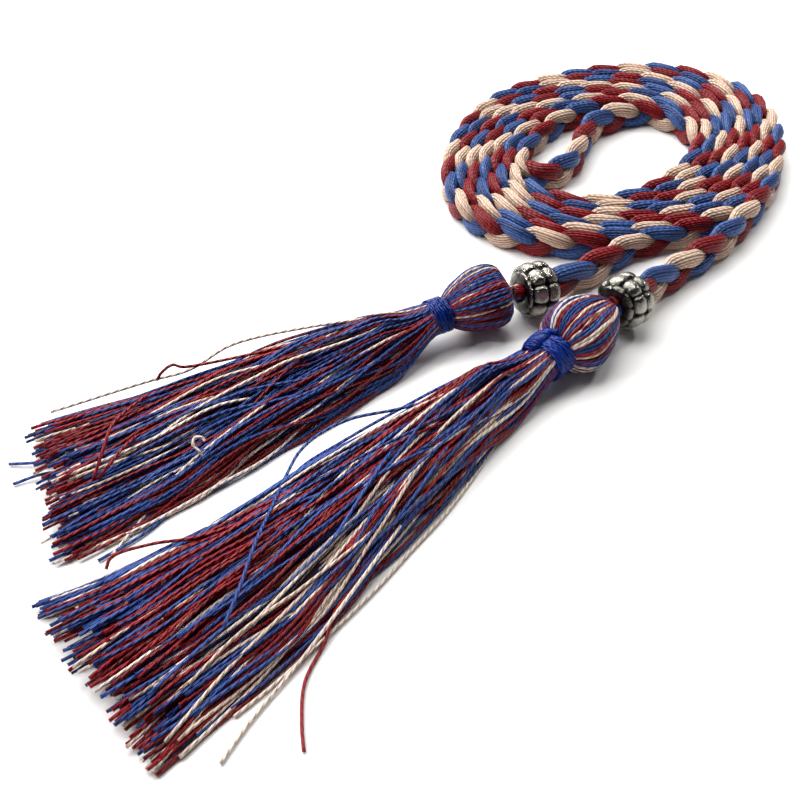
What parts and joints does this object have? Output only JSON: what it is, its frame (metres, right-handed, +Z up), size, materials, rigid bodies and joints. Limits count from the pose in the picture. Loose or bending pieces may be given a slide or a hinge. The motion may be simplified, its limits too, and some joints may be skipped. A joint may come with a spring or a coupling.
{
  "type": "braided tassel belt",
  "caption": "Three-strand braided cord belt coiled on edge, each end run through a cast metal bead into a bound tassel.",
  "frame": {"origin": "centre of the bounding box on the surface that the belt lies on", "axes": "+Z up, out of the surface; +Y from the tassels towards the coil"},
  "size_m": [0.1653, 0.2156, 0.014],
  "materials": {
    "blue_thread": "twisted thread with a low sheen",
    "red_thread": "twisted thread with a low sheen",
    "cream_thread": "twisted thread with a low sheen",
    "tassel_thread": "mixed red, blue and cream threads",
    "tie_thread": "glossy wound thread",
    "bead_metal": "antique silver, dark in the recesses"
  },
  "bodies": {
    "root": {"blue_strand": "blue_thread", "red_strand": "red_thread", "cream_strand": "cream_thread", "bead_far": "bead_metal", "bead_near": "bead_metal", "tassel_far": "tassel_thread", "tassel_near": "tassel_thread", "tie_far": "tie_thread", "tie_near": "tie_thread"}
  },
  "joints": []
}
